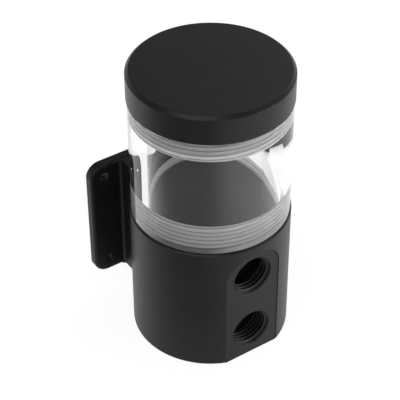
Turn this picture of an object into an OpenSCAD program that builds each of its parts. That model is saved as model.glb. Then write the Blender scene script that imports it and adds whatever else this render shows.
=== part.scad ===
// Coolant pump reservoir: a round pump body with two ports on a milled flat, a clear
// threaded tube, a screw cap, a rear mounting bracket and a canned magnetic-drive pump.
// Units are millimetres, +Z is up, the origin is the body's axis on its resting face,
// the ports face -Y and the bracket's mounting face looks to +Y.

/* [Body] */
// Outside diameter of the pump body
body_d = 50; // [49:0.5:56]
// Height of the body from its resting face to its rim
body_h = 45.7; // [44:0.1:56]
// Chamfer round the body's rim and foot
body_chamfer = 0.4; // [0.2:0.1:0.8]
// Thickness of the web between the sump and the pump chamber
web_t = 3.5; // [3:0.1:5]

/* [Ports] */
// Diameter of the port bores, the major diameter of their pipe thread
port_d = 13.16; // [11:0.02:13.4]
// Depth of the port bores below the flat
port_depth = 8; // [7.5:0.1:8.6]
// Chamfer at the mouth of a port
port_chamfer = 0.4; // [0.2:0.1:0.8]
// Height of the lower port's axis above the resting face
lower_port_z = 9.8; // [9.6:0.1:10.4]
// Distance between the two port axes
port_spacing = 22.2; // [21.8:0.1:24]
// Depth of the flat below the round of the body
flat_depth = 2.2; // [1.6:0.1:2.6]
// Width of the flat
flat_w = 19.6; // [17:0.1:19.8]
// Height of the centre of the flat's round top above the upper port's axis
arch_rise = 1.2; // [0:0.1:2]
// Diameter of the passage that joins the lower port to the riser
passage_d = 8; // [6:0.2:9]
// Diameter of the riser between the pump chamber and the lower port
riser_d = 5.2; // [4.6:0.1:5.6]
// Distance of the riser's axis in front of the body's axis
riser_y = 12.4; // [12.2:0.1:12.8]

/* [Tube] */
// Outside diameter of the clear tube
tube_d = 49.2; // [46:0.1:54]
// Wall of the clear tube, down to the minor diameter of its end threads
tube_wall = 5.4; // [4.9:0.1:6]
// Length of the clear tube
tube_l = 40.3; // [30:0.1:90]
// Chamfer of the tube's outer edges
tube_chamfer = 0.4; // [0.2:0.1:0.8]
// Lead-in at the mouth of each end thread
tube_lead = 0.7; // [0.3:0.1:1]
// Gap between the tube's end face and the face that it seals on
seat_gap = 0.2; // [0.1:0.05:0.3]

/* [Threaded spigots] */
// Radial room between a spigot's thread root and the tube's bore
spigot_clear = 0.3; // [0.2:0.05:0.5]
// Wall of the body's spigot, between its thread and the sump
spigot_wall = 2.4; // [1.6:0.1:4]
// Height of the body's spigot above its rim
spigot_h = 4.1; // [3.4:0.1:6]
// Number of suction notches in the body's spigot
notch_n = 8; // [4:1:10]
// Width of a suction notch
notch_w = 4; // [2:0.5:6]
// Depth of a suction notch
notch_h = 1.6; // [1:0.1:2]

/* [Cap] */
// Distance that the screw cap stands out past the tube
cap_overhang = 0.3; // [0:0.1:1.5]
// Height of the cap above the tube
cap_h = 9.5; // [7:0.1:14]
// Chamfer round the cap's top
cap_chamfer = 1.05; // [0.5:0.05:2]
// Length of the cap's threaded spigot
cap_spigot_l = 6.5; // [4:0.1:9]
// Wall of the cap's threaded spigot
cap_spigot_wall = 3.2; // [2.4:0.1:5]
// Thickness of the cap's roof
cap_roof_t = 4.5; // [3:0.1:6]

/* [Seals] */
// Section of the two tube seals
seal_section = 1.4; // [1:0.1:1.8]
// Section of the pump can's seal
can_seal_section = 1; // [0.8:0.1:1.1]
// Room round a seal in its groove
seal_room = 0.1; // [0.05:0.05:0.2]

/* [Baffle plate] */
// Gap between the edge of the baffle plate and the tube's bore
baffle_gap = 0.7; // [0.5:0.1:1.5]
// Thickness of the baffle plate
baffle_t = 1.4; // [1:0.1:2]
// Length of the baffle plate's legs
baffle_leg_l = 6; // [4:0.5:9]
// Wall of the baffle plate's legs
baffle_leg_wall = 1.3; // [1:0.1:2]
// Radial room between the legs and the sump
baffle_room = 0.15; // [0.05:0.05:0.3]

/* [Mounting bracket] */
// Width of the bracket plate
bracket_w = 55; // [52:0.5:70]
// Height of the bracket plate
bracket_h = 43; // [40:0.5:60]
// Thickness of the bracket plate
bracket_t = 3; // [2.4:0.1:5]
// Height of the bracket's lower edge above the resting face
bracket_z = 10.7; // [6:0.1:14]
// Distance of the mounting face behind the body, or the tube where that is wider
bracket_gap = 3.5; // [3.3:0.1:9]
// Corner radius of the bracket plate
bracket_corner_r = 4.6; // [2:0.1:8]
// Rounding of the bracket plate's front edges
bracket_edge_r = 0.9; // [0.4:0.1:1.2]
// Width of the neck between the bracket plate and the body
neck_w = 33; // [26:0.5:36]
// Fillet between the neck and the plate
neck_fillet_r = 1.1; // [0.5:0.1:2]
// Diameter of the mounting holes
mount_hole_d = 3.2; // [2.6:0.1:4.4]
// Spacing of the mounting holes across
mount_w = 45; // [43:0.5:46]
// Spacing of the mounting holes up
mount_h = 33.6; // [30:0.2:35]
// Height of the lower bracket screw above the resting face
bracket_screw_z = 23.5; // [22:0.5:26]
// Distance between the two bracket screws
bracket_screw_pitch = 15.5; // [14:0.5:18]

/* [Pump] */
// Distance of the pump's axis behind the body's axis
pump_y = 6.2; // [6:0.1:6.6]
// Diameter of the motor bay
bay_d = 29.2; // [28.8:0.1:29.4]
// Height of the motor bay's ceiling above the resting face
bay_h = 19; // [18.8:0.1:20]
// Height of the pump chamber
chamber_h = 7; // [6.6:0.1:7.4]
// Radius of the spiral chamber where it starts
volute_r_start = 9.3; // [9.1:0.1:9.6]
// Radius of the spiral chamber where it ends
volute_r_end = 12.1; // [11.4:0.1:12.2]
// Diameter of the suction eye
eye_d = 9; // [8:0.1:10]
// Diameter of the impeller
impeller_d = 17; // [15:0.1:17.4]
// Number of impeller blades
blade_n = 6; // [4:1:8]
// Thickness of an impeller blade
blade_t = 0.9; // [0.6:0.1:1.2]
// Angle that a blade sweeps back from hub to tip
blade_sweep = 50; // [35:1:60]
// Thickness of the impeller's back plate
shroud_t = 1.2; // [0.8:0.1:1.6]
// Running gap above and below the impeller
impeller_gap = 0.5; // [0.3:0.05:0.7]
// Diameter of the impeller's hub and rotor sleeve
hub_d = 6.4; // [6:0.1:6.8]
// Diameter of the ceramic shaft
shaft_d = 3; // [2.6:0.1:3.2]
// Wall of the bearing bush
bush_wall = 0.9; // [0.6:0.1:1]
// Radial running clearance of the bush on the shaft
bush_clear = 0.03; // [0.01:0.01:0.08]
// Thickness of a thrust washer
washer_t = 0.5; // [0.3:0.1:0.6]

/* [Motor] */
// Diameter of the rotor magnet
magnet_d = 12.8; // [12:0.1:13]
// Length of the rotor magnet
magnet_l = 8.2; // [6:0.1:8.4]
// Air gap between the magnet and the can
air_gap = 0.6; // [0.4:0.05:0.8]
// Wall of the can
can_wall = 0.8; // [0.6:0.1:1]
// Thickness of the can's flange
can_flange_t = 2; // [1.6:0.1:2.2]
// Height of the can's underside above the resting face
can_z = 6; // [5.8:0.1:6.4]
// Height of the stator core
core_h = 5.4; // [4:0.1:6]
// Height of the stator core's underside above the resting face
core_z = 8.6; // [8.4:0.1:9]
// Number of stator poles
pole_n = 6; // [4:1:9]
// Width of a stator pole
pole_w = 2.4; // [1.6:0.1:2.8]
// Thickness of the winding on a pole
coil_t = 1.2; // [0.6:0.1:1.4]
// Wall of the motor sleeve round the core
sleeve_wall = 1.2; // [0.9:0.1:1.4]
// Ledge in the motor sleeve that carries the core
sleeve_ledge = 0.9; // [0.5:0.1:1.2]
// Thickness of the driver board
board_t = 1.2; // [0.8:0.1:1.4]

/* [Bottom cover] */
// Diameter of the bottom cover
cover_d = 41.6; // [41:0.1:42]
// Thickness of the bottom cover
cover_t = 1.8; // [1.4:0.1:2]
// Distance of the cover's centre behind the body's axis
cover_y = 2; // [1.8:0.1:2.2]
// Distance that the cover lies above the resting face
cover_recess = 0.2; // [0.1:0.1:0.4]
// Radius of the circle of cover screws
cover_screw_r = 19.2; // [19:0.1:19.4]
// Height of the posts that carry the board
post_h = 1.4; // [1:0.1:1.8]
// Height of the cable inlet above the resting face
inlet_z = 5.8; // [5.4:0.1:6.2]
// Diameter of the cable inlet in the body's wall
inlet_d = 4.8; // [4:0.1:5]

/* [Fasteners] */
// Shank diameter of the cover screws
small_screw_d = 1.8; // [1.4:0.1:2]
// Length of the cover screws
small_screw_l = 7; // [5:0.5:8]
// Shank diameter of the bracket screws
big_screw_d = 3.6; // [3:0.1:4]
// Length of the bracket screws
big_screw_l = 8; // [7:0.1:8.2]
// Radial room round a screw in its pilot hole
pilot_room = 0.05; // [0.02:0.01:0.1]
// Radial room round a screw in its clearance hole
through_room = 0.25; // [0.15:0.05:0.4]
// General room between pieces that are assembled by hand
fit_room = 0.2; // [0.1:0.05:0.3]

/* [Hidden] */

// Nothing but the smoothness of round shapes depends on this
$fn = 96;
// Overshoot of a cutting tool past the face that it opens
over = 1;
// Contact clearance of pieces that seat on each other
touch = 0.05;

body_r = body_d / 2;
flat_y = body_r - flat_depth;
upper_port_z = lower_port_z + port_spacing;
tube_r = tube_d / 2;
tube_bore_r = tube_r - tube_wall;
spigot_r = tube_bore_r - spigot_clear;
sump_r = spigot_r - spigot_wall;
baffle_r = tube_bore_r - baffle_gap;
cap_r = tube_r + cap_overhang;
spigot_top_z = body_h + spigot_h;
tube_z = body_h + seat_gap;
cap_z = tube_z + tube_l + seat_gap;
seal_r = (tube_bore_r + tube_r) / 2;

chamber_top_z = bay_h + chamber_h;
sump_floor_z = chamber_top_z + web_t;
pocket_z = cover_recess + cover_t;
pocket_r = cover_d / 2 + fit_room;
bay_r = bay_d / 2;

// The discharge leaves the spiral chamber on a tangent and meets the riser
discharge_reach = pump_y + riser_y;
discharge_r = riser_d / 2;
tangent_r = volute_r_end - discharge_r + 0.5;
discharge_angle = asin(tangent_r / discharge_reach);
discharge_l = sqrt(discharge_reach * discharge_reach - tangent_r * tangent_r);
// Roof of the chamber above the discharge
discharge_roof = 0.4;
discharge_z = chamber_top_z - discharge_roof - discharge_r;

can_in_r = magnet_d / 2 + air_gap;
can_out_r = can_in_r + can_wall;
can_flange_r = bay_r - fit_room;
can_top_z = bay_h - touch;
can_floor_z = can_z + can_wall;
// Boss in the can's floor that holds the shaft
boss_h = 0.6;
boss_wall = 1.2;
can_seal_r = (volute_r_end + can_flange_r) / 2 + 0.1;

shaft_r = shaft_d / 2;
bush_in_r = shaft_r + bush_clear;
bush_out_r = bush_in_r + bush_wall;
hub_r = hub_d / 2;
impeller_r = impeller_d / 2;
// Distance that the blade tips stay inside the back plate's edge
tip_inset = 0.15;
impeller_z = bay_h + impeller_gap;
impeller_top_z = chamber_top_z - impeller_gap;
washer_gap = 0.08;
lower_washer_z = can_floor_z + boss_h + touch;
hub_z = lower_washer_z + washer_t + washer_gap;
hub_top_z = impeller_z + shroud_t + 1.8;
upper_washer_z = hub_top_z + washer_gap;
clip_z = upper_washer_z + washer_t + touch;
clip_h = 0.8;
shaft_z = can_z + can_wall / 2;
shaft_l = clip_z + clip_h + 0.4 - shaft_z;
magnet_z = impeller_z - 0.4 - magnet_l - 1.4;

core_in_r = can_out_r + 0.3;
sleeve_out_r = bay_r - fit_room;
core_r = sleeve_out_r - sleeve_wall - touch;
sleeve_ledge_r = core_r - sleeve_ledge;
sleeve_z = pocket_z + touch;
sleeve_top_z = can_top_z - can_flange_t - touch;
// Radial thickness of the core's yoke and of its pole shoes
yoke_t = 1.4;
shoe_t = 1.1;
// Angle between neighbouring pole shoes
shoe_gap_angle = 14;
board_r = sleeve_ledge_r - fit_room;
board_z = pocket_z + post_h + touch;
// Driver chip, row of capacitors and Hall sensor on the board
chip_w = 5.2;
chip_d = 4;
chip_h = 0.85;
chip_y = 8.6;
capacitor_w = 1.2;
capacitor_d = 2;
capacitor_h = 0.8;
capacitor_x = 7.4;
capacitor_pitch = 2.2;
sensor_w = 2.4;
sensor_d = 1.6;
sensor_x = 5.2;
row_y = 5.4;

small_head_r = small_screw_d * 0.95;
small_head_h = small_head_r - small_screw_d / 2;
big_head_r = big_screw_d * 0.95;
big_head_h = big_head_r - big_screw_d / 2;
inlet_x = sqrt(body_r * body_r - pump_y * pump_y) - 0.6;
grommet_flange_r = inlet_d / 2 + 1;
grommet_flange_t = 1;
bracket_y = max(body_r, tube_r) + bracket_gap;
bracket_seat_r = body_r + touch;
bracket_mid_z = bracket_z + bracket_h / 2;

// A body of revolution from a closed outline in the X-Z half plane
module turned(points) {
    rotate_extrude() polygon(points);
}

// A ring with a round section, centred on z
module o_ring(r, section, z) {
    translate([0, 0, z]) rotate_extrude() translate([r, 0]) circle(d = section, $fn = 24);
}

// A rectangular groove cut down from a face at z, to depth below it
module face_groove(r, width, depth, z) {
    translate([0, 0, z - depth]) difference() {
        cylinder(r = r + width / 2, h = depth + over);
        translate([0, 0, -over]) cylinder(r = r - width / 2, h = depth + 3 * over);
    }
}

// A countersunk screw that points along -Z, its head's face at the origin
module countersunk_screw(d, l, head_r, head_h, key) {
    difference() {
        union() {
            translate([0, 0, -head_h]) cylinder(r1 = d / 2, r2 = head_r, h = head_h);
            translate([0, 0, -l]) cylinder(d = d, h = l - head_h / 2);
        }
        translate([0, 0, -0.75 * head_h]) cylinder(d = key, h = head_h, $fn = 6);
    }
}

// The room that a countersunk screw needs in the piece that it clamps
module countersink(d, l, head_r, head_h, room) {
    translate([0, 0, -head_h - room]) cylinder(r1 = d / 2 + room, r2 = head_r + room, h = head_h);
    translate([0, 0, -room - touch]) cylinder(r = head_r + room, h = room + touch + over);
    translate([0, 0, -l - over]) cylinder(r = d / 2 + room, h = l + over);
}

module at_pump() {
    translate([0, pump_y, 0]) children();
}

module at_cover_screws() {
    for (a = [45 : 90 : 315])
        translate([cover_screw_r * cos(a), cover_y + cover_screw_r * sin(a), 0]) children();
}

module at_bracket_screws() {
    for (i = [0, 1])
        translate([0, bracket_y, bracket_screw_z + i * bracket_screw_pitch])
            rotate([-90, 0, 0]) children();
}

// ---- Body housing ----

// Outline of the flat: straight sides, open at the foot, with a full round top
module flat_outline() {
    translate([-flat_w / 2, -over]) square([flat_w, upper_port_z + arch_rise + over]);
    translate([0, upper_port_z + arch_rise]) circle(d = flat_w);
}

module port_flat() {
    translate([0, -flat_y, 0]) rotate([90, 0, 0])
        linear_extrude(flat_depth + over) flat_outline();
}

// A port: the threaded bore and the chamfer at its mouth
module port_bore(z) {
    translate([0, -flat_y, z]) rotate([-90, 0, 0]) {
        translate([0, 0, -over]) cylinder(d = port_d, h = port_depth + over);
        translate([0, 0, -touch]) cylinder(d1 = port_d + 2 * (port_chamfer + touch), d2 = port_d,
            h = port_chamfer + touch);
    }
}

// The spiral chamber, which opens clockwise up to the tangent of the discharge
module volute_outline() {
    step = 5;
    polygon([for (t = [0 : step : 360])
        let (r = volute_r_start + (volute_r_end - volute_r_start) * t / 360,
             a = -discharge_angle - t)
        [r * cos(a), r * sin(a)]]);
}

module discharge() {
    translate([0, -riser_y, discharge_z]) rotate([0, 0, -discharge_angle]) rotate([-90, 0, 0])
        cylinder(r = discharge_r, h = discharge_l);
    translate([0, -riser_y, lower_port_z - discharge_r])
        cylinder(r = discharge_r, h = discharge_z - lower_port_z + 1.6 * discharge_r);
    translate([0, -riser_y, lower_port_z]) rotate([90, 0, 0])
        cylinder(d = passage_d, h = flat_y - port_depth - riser_y + touch);
}

module body_blank() {
    turned([[0, 0], [body_r - body_chamfer, 0], [body_r, body_chamfer],
        [body_r, body_h - body_chamfer], [body_r - body_chamfer, body_h],
        [spigot_r, body_h], [spigot_r, spigot_top_z - body_chamfer],
        [spigot_r - body_chamfer, spigot_top_z], [0, spigot_top_z]]);
}

module body_housing() {
    color("#1d1d1f") difference() {
        body_blank();
        port_flat();
        port_bore(upper_port_z);
        port_bore(lower_port_z);
        discharge();
        // Sump, and the notches that let coolant in under the baffle plate
        translate([0, 0, sump_floor_z]) cylinder(r = sump_r, h = body_h);
        translate([0, port_depth - flat_y - touch, upper_port_z]) rotate([-90, 0, 0])
            cylinder(d = 1.8 * (upper_port_z - sump_floor_z), h = flat_y - port_depth);
        for (i = [0 : notch_n - 1])
            rotate([0, 0, (i + 0.5) * 360 / notch_n])
                translate([0, -notch_w / 2, spigot_top_z - notch_h])
                    cube([body_r, notch_w, notch_h + over]);
        face_groove(seal_r, seal_section + 2 * seal_room + 0.2, seal_section + seal_room - seat_gap,
            body_h);
        // Motor bay, pump chamber and suction eye
        at_pump() {
            translate([0, 0, -over]) cylinder(r = bay_r, h = bay_h + over);
            translate([0, 0, bay_h - touch]) linear_extrude(chamber_h + touch) volute_outline();
            translate([0, 0, chamber_top_z - touch]) cylinder(d = eye_d, h = web_t + over);
            difference() {
                cylinder(r = can_seal_r + can_seal_section / 2 + seal_room,
                    h = bay_h + can_seal_section);
                cylinder(r = can_seal_r - can_seal_section / 2 - seal_room,
                    h = bay_h + can_seal_section + over);
            }
        }
        // Seat of the bottom cover and its screws
        translate([0, cover_y, -over]) cylinder(r = pocket_r, h = pocket_z + over);
        at_cover_screws() cylinder(r = small_screw_d / 2 + pilot_room, h = small_screw_l + over);
        // Cable inlet with a spot face for the grommet
        translate([0, pump_y, inlet_z]) rotate([0, 90, 0]) cylinder(d = inlet_d, h = body_r);
        translate([inlet_x, pump_y, inlet_z]) rotate([0, 90, 0])
            cylinder(r = grommet_flange_r + fit_room, h = body_r);
        at_bracket_screws() translate([0, 0, -big_screw_l - 0.2])
            cylinder(r = big_screw_d / 2 + pilot_room, h = big_screw_l);
    }
}

// ---- Mounting bracket ----

// One corner of the plate, its front edge rounded
module plate_corner() {
    rotate([-90, 0, 0]) rotate_extrude($fn = 32) {
        translate([0, bracket_edge_r]) square([bracket_corner_r, bracket_t - bracket_edge_r]);
        square([bracket_corner_r - bracket_edge_r, bracket_edge_r + touch]);
        translate([bracket_corner_r - bracket_edge_r, bracket_edge_r])
            circle(r = bracket_edge_r, $fn = 16);
    }
}

module bracket_plate() {
    hull() for (x = [-1, 1], z = [-1, 1])
        translate([x * (bracket_w / 2 - bracket_corner_r), bracket_y - bracket_t,
            bracket_mid_z + z * (bracket_h / 2 - bracket_corner_r)]) plate_corner();
}

// Plan of the neck: straight sides with a fillet against the plate
module neck_plan() {
    front = bracket_y - bracket_t;
    translate([-neck_w / 2, 0]) square([neck_w, front + touch]);
    for (s = [-1, 1]) scale([s, 1]) difference() {
        translate([neck_w / 2 - touch, front - neck_fillet_r])
            square([neck_fillet_r + touch, neck_fillet_r + touch]);
        translate([neck_w / 2 + neck_fillet_r, front - neck_fillet_r]) circle(r = neck_fillet_r);
    }
}

module mounting_bracket() {
    color("#1c1c1e") difference() {
        union() {
            bracket_plate();
            translate([0, 0, bracket_z]) linear_extrude(bracket_h) neck_plan();
        }
        // Saddle that seats on the body and clears the tube above it
        translate([0, 0, -over]) cylinder(r = bracket_seat_r, h = cap_z);
        if (tube_r > body_r) translate([0, 0, body_h]) cylinder(r = tube_r + touch, h = cap_z);
        translate([-body_r, -over, bracket_z - over]) cube([body_d, over + 5, bracket_h + 2 * over]);
        for (x = [-1, 1], z = [-1, 1])
            translate([x * mount_w / 2, bracket_y + over, bracket_mid_z + z * mount_h / 2])
                rotate([90, 0, 0]) cylinder(d = mount_hole_d, h = bracket_t + 2 * over);
        at_bracket_screws()
            countersink(big_screw_d, big_screw_l, big_head_r, big_head_h, through_room);
    }
}

module bracket_screws() {
    color("#8d9196") at_bracket_screws() translate([0, 0, -through_room])
        countersunk_screw(big_screw_d, big_screw_l - through_room, big_head_r, big_head_h,
            big_screw_d * 0.62);
}

// ---- Tank ----

module reservoir_tube() {
    color("#dfe8ec", 0.4) translate([0, 0, tube_z])
        turned([[tube_bore_r + tube_lead, 0], [tube_r - tube_chamfer, 0], [tube_r, tube_chamfer],
            [tube_r, tube_l - tube_chamfer], [tube_r - tube_chamfer, tube_l],
            [tube_bore_r + tube_lead, tube_l], [tube_bore_r, tube_l - tube_lead],
            [tube_bore_r, tube_lead]]);
}

module tube_seal() {
    color("#161616")
        o_ring(seal_r, seal_section, body_h + seat_gap - seal_room / 2 - seal_section / 2);
}

module screw_cap() {
    pocket_r = spigot_r - cap_spigot_wall;
    color("#232325") translate([0, 0, cap_z]) difference() {
        turned([[0, -cap_spigot_l], [spigot_r - body_chamfer, -cap_spigot_l],
            [spigot_r, body_chamfer - cap_spigot_l], [spigot_r, 0],
            [cap_r - body_chamfer / 2, 0], [cap_r, body_chamfer / 2],
            [cap_r, cap_h - cap_chamfer], [cap_r - cap_chamfer, cap_h], [0, cap_h]]);
        translate([0, 0, -cap_spigot_l - over])
            cylinder(r = pocket_r, h = cap_h - cap_roof_t + cap_spigot_l + over);
        mirror([0, 0, 1]) face_groove(seal_r, seal_section + 2 * seal_room + 0.2,
            seal_section + seal_room - seat_gap, 0);
    }
}

module cap_seal() {
    color("#161616") o_ring(seal_r, seal_section, cap_z - seat_gap + seal_room / 2 + seal_section / 2);
}

// The plate that keeps air out of the pump: it stands on the notched spigot and four legs
// hold it in the sump
module baffle_plate() {
    leg_r = sump_r - baffle_room;
    plate_z = spigot_top_z + touch;
    color("#3a3b3d") {
        translate([0, 0, plate_z]) cylinder(r = baffle_r, h = baffle_t);
        translate([0, 0, plate_z - baffle_leg_l]) difference() {
            cylinder(r = leg_r, h = baffle_leg_l + touch);
            translate([0, 0, -over]) cylinder(r = leg_r - baffle_leg_wall, h = baffle_leg_l + 2 * over);
            for (a = [0, 90]) rotate([0, 0, a])
                translate([-2 * sump_r, -0.6 * sump_r, -over])
                    cube([4 * sump_r, 1.2 * sump_r, baffle_leg_l + over]);
        }
    }
}

// ---- Pump rotor ----

// Plan of one blade: an arc from the hub to the tip, swept back against the rotation
module blade_plan() {
    root = hub_r * 0.9;
    tip_r = impeller_r - tip_inset;
    tip = [tip_r * cos(blade_sweep), tip_r * sin(blade_sweep)];
    mid = [(root + tip[0]) / 2, tip[1] / 2];
    chord = norm([tip[0] - root, tip[1]]);
    arc_r = chord * 1.02;
    drop = sqrt(arc_r * arc_r - chord * chord / 4);
    centre = [mid[0] - drop * tip[1] / chord, mid[1] + drop * (tip[0] - root) / chord];
    intersection() {
        translate(centre) difference() {
            circle(r = arc_r + blade_t / 2);
            circle(r = arc_r - blade_t / 2);
        }
        circle(r = tip_r);
        translate([root / 3, -impeller_r]) square(2 * impeller_r);
    }
}

module impeller() {
    color("#e9e6dc") at_pump() difference() {
        union() {
            translate([0, 0, hub_z]) cylinder(r = hub_r, h = hub_top_z - hub_z);
            translate([0, 0, impeller_z]) cylinder(r = impeller_r, h = shroud_t);
            translate([0, 0, impeller_z + shroud_t - touch])
                linear_extrude(impeller_top_z - impeller_z - shroud_t + touch) difference() {
                    for (i = [0 : blade_n - 1]) rotate([0, 0, i * 360 / blade_n]) blade_plan();
                    circle(r = hub_r - 0.2);
                }
        }
        translate([0, 0, hub_z - over]) cylinder(r = bush_out_r, h = shaft_l + over);
    }
}

module bearing_bush() {
    color("#2b2b2e") at_pump() translate([0, 0, hub_z]) difference() {
        cylinder(r = bush_out_r, h = hub_top_z - hub_z);
        translate([0, 0, -over]) cylinder(r = bush_in_r, h = shaft_l);
    }
}

module rotor_magnet() {
    color("#4a4d52") at_pump() translate([0, 0, magnet_z]) difference() {
        cylinder(d = magnet_d, h = magnet_l);
        translate([0, 0, -over]) cylinder(r = hub_r, h = magnet_l + 2 * over);
    }
}

module pump_shaft() {
    color("#f1eee6") at_pump() translate([0, 0, shaft_z]) cylinder(r = shaft_r, h = shaft_l);
}

module thrust_washer(z) {
    color("#d9c9a0") at_pump() translate([0, 0, z]) difference() {
        cylinder(r = bush_out_r, h = washer_t);
        translate([0, 0, -over]) cylinder(r = shaft_r + touch, h = washer_t + 2 * over);
    }
}

module lower_thrust_washer() {
    thrust_washer(lower_washer_z);
}

module upper_thrust_washer() {
    thrust_washer(upper_washer_z);
}

// A snap ring that stops the rotor at the top of the shaft
module shaft_clip() {
    color("#c9ccd1") at_pump() translate([0, 0, clip_z]) difference() {
        cylinder(r = bush_out_r + 0.2, h = clip_h);
        translate([0, 0, -over]) cylinder(r = shaft_r, h = clip_h + 2 * over);
        translate([0, -0.5, -over]) cube([2 * hub_r, 1, clip_h + 2 * over]);
    }
}

// ---- Motor ----

module separation_can() {
    color("#2f3033") at_pump() difference() {
        union() {
            translate([0, 0, can_z]) cylinder(r = can_out_r, h = can_top_z - can_z);
            translate([0, 0, can_top_z - can_flange_t]) cylinder(r = can_flange_r, h = can_flange_t);
        }
        difference() {
            translate([0, 0, can_floor_z]) cylinder(r = can_in_r, h = can_top_z);
            translate([0, 0, can_floor_z - over])
                cylinder(r = shaft_r + boss_wall, h = boss_h + over);
        }
        translate([0, 0, shaft_z]) cylinder(r = shaft_r, h = can_top_z);
    }
}

module can_seal() {
    color("#161616") at_pump()
        o_ring(can_seal_r, can_seal_section, bay_h - touch / 2 + can_seal_section / 2);
}

module pole_shoes() {
    pole_angle = 360 / pole_n;
    for (i = [0 : pole_n - 1]) rotate([0, 0, i * pole_angle]) intersection() {
        difference() {
            circle(r = core_in_r + shoe_t);
            circle(r = core_in_r);
        }
        polygon([[0, 0], [2 * core_r, -2 * core_r * tan((pole_angle - shoe_gap_angle) / 2)],
            [2 * core_r, 2 * core_r * tan((pole_angle - shoe_gap_angle) / 2)]]);
    }
}

module stator_core() {
    color("#7d8288") at_pump() translate([0, 0, core_z]) linear_extrude(core_h) {
        difference() {
            circle(r = core_r);
            circle(r = core_r - yoke_t);
        }
        pole_shoes();
        for (i = [0 : pole_n - 1]) rotate([0, 0, i * 360 / pole_n])
            translate([core_in_r + shoe_t / 2, -pole_w / 2])
                square([core_r - yoke_t / 2 - core_in_r - shoe_t / 2, pole_w]);
    }
}

// Section of a winding: a rounded frame round its pole
module coil_section(w) {
    h = core_h + 2 * (touch + coil_t);
    r = coil_t * 0.8;
    difference() {
        union() {
            square([w - 2 * r, h], center = true);
            square([w, h - 2 * r], center = true);
            for (x = [-1, 1], y = [-1, 1]) translate([x * (w / 2 - r), y * (h / 2 - r)])
                circle(r = r, $fn = 24);
        }
        square([pole_w + 2 * touch, core_h + 2 * touch], center = true);
    }
}

module stator_coils() {
    w = pole_w + 2 * (touch + coil_t);
    yoke_in_r = core_r - yoke_t;
    coil_in = core_in_r + shoe_t + 0.15;
    coil_l = sqrt(yoke_in_r * yoke_in_r - w * w / 4) - 0.15 - coil_in;
    color("#b5622c") at_pump() for (i = [0 : pole_n - 1]) rotate([0, 0, i * 360 / pole_n])
        translate([coil_in, 0, core_z + core_h / 2]) rotate([90, 0, 90])
            linear_extrude(coil_l) coil_section(w);
}

module motor_sleeve() {
    color("#2a2b2d") at_pump() difference() {
        translate([0, 0, sleeve_z]) cylinder(r = sleeve_out_r, h = sleeve_top_z - sleeve_z);
        translate([0, 0, core_z - touch]) cylinder(r = core_r + touch, h = bay_h);
        translate([0, 0, sleeve_z - over]) cylinder(r = sleeve_ledge_r, h = bay_h);
        // Window for the leads
        translate([0, -inlet_d / 2, sleeve_z - over])
            cube([2 * bay_r, inlet_d, inlet_z + inlet_d / 2 - sleeve_z + over]);
    }
}

module driver_board() {
    color("#2f5d3a") at_pump() translate([0, 0, board_z]) difference() {
        cylinder(r = board_r, h = board_t);
        translate([board_r - 1.6, -2, -over]) cube([board_r, 4, board_t + 2 * over]);
        for (a = [60, 180, 300]) rotate([0, 0, a]) translate([board_r - 2.6, 0, -over])
            cylinder(d = 1.2, h = board_t + 2 * over, $fn = 24);
    }
}

// Driver chip, three capacitors and the Hall sensor under the rotor
module board_components() {
    top_z = board_z + board_t;
    color("#26272a") at_pump() translate([0, 0, top_z + touch / 2]) {
        translate([-chip_w / 2, -chip_y, 0]) cube([chip_w, chip_d, chip_h]);
        for (i = [0 : 2]) translate([i * capacitor_pitch - capacitor_x, row_y, 0])
            cube([capacitor_w, capacitor_d, capacitor_h]);
        translate([sensor_x, row_y, 0]) cube([sensor_w, sensor_d, chip_h]);
    }
}

module bottom_cover() {
    color("#1b1b1d") difference() {
        union() {
            translate([0, cover_y, cover_recess]) cylinder(d = cover_d, h = cover_t);
            at_pump() for (a = [60, 180, 300]) rotate([0, 0, a])
                translate([board_r - 2.6, 0, pocket_z - touch])
                    cylinder(d = 3, h = post_h + touch, $fn = 32);
        }
        at_cover_screws() translate([0, 0, cover_recess]) mirror([0, 0, 1])
            countersink(small_screw_d, pocket_z, small_head_r, small_head_h, through_room);
    }
}

module cover_screws() {
    color("#8d9196") at_cover_screws() translate([0, 0, cover_recess + through_room])
        mirror([0, 0, 1]) countersunk_screw(small_screw_d, small_screw_l - through_room, small_head_r,
            small_head_h, small_screw_d * 0.6);
}

// The rubber lining of the cable inlet
module cable_grommet() {
    color("#151515") translate([0, pump_y, inlet_z]) rotate([0, 90, 0]) difference() {
        union() {
            translate([0, 0, bay_r]) cylinder(d = inlet_d - 2 * touch, h = inlet_x - bay_r + touch);
            translate([0, 0, inlet_x + touch]) cylinder(r = grommet_flange_r, h = grommet_flange_t);
        }
        translate([0, 0, bay_r - over]) cylinder(d = inlet_d * 0.55, h = body_r);
    }
}

body_housing();
mounting_bracket();
bracket_screws();
reservoir_tube();
tube_seal();
screw_cap();
cap_seal();
baffle_plate();
impeller();
bearing_bush();
rotor_magnet();
pump_shaft();
lower_thrust_washer();
upper_thrust_washer();
shaft_clip();
separation_can();
can_seal();
stator_core();
stator_coils();
motor_sleeve();
driver_board();
board_components();
bottom_cover();
cover_screws();
cable_grommet();
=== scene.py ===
"""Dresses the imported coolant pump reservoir: threads, edges, finishes, studio and camera.

Every length is in metres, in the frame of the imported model: +Z up, the ports face -Y, the
mounting face looks to +Y, and the origin is the body's axis on its resting face.
"""
import logging
import math
from dataclasses import dataclass, field
from enum import Enum
from typing import Mapping, Optional, Sequence, Tuple, Union

import bmesh
import bpy
from mathutils import Matrix, Vector


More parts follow.
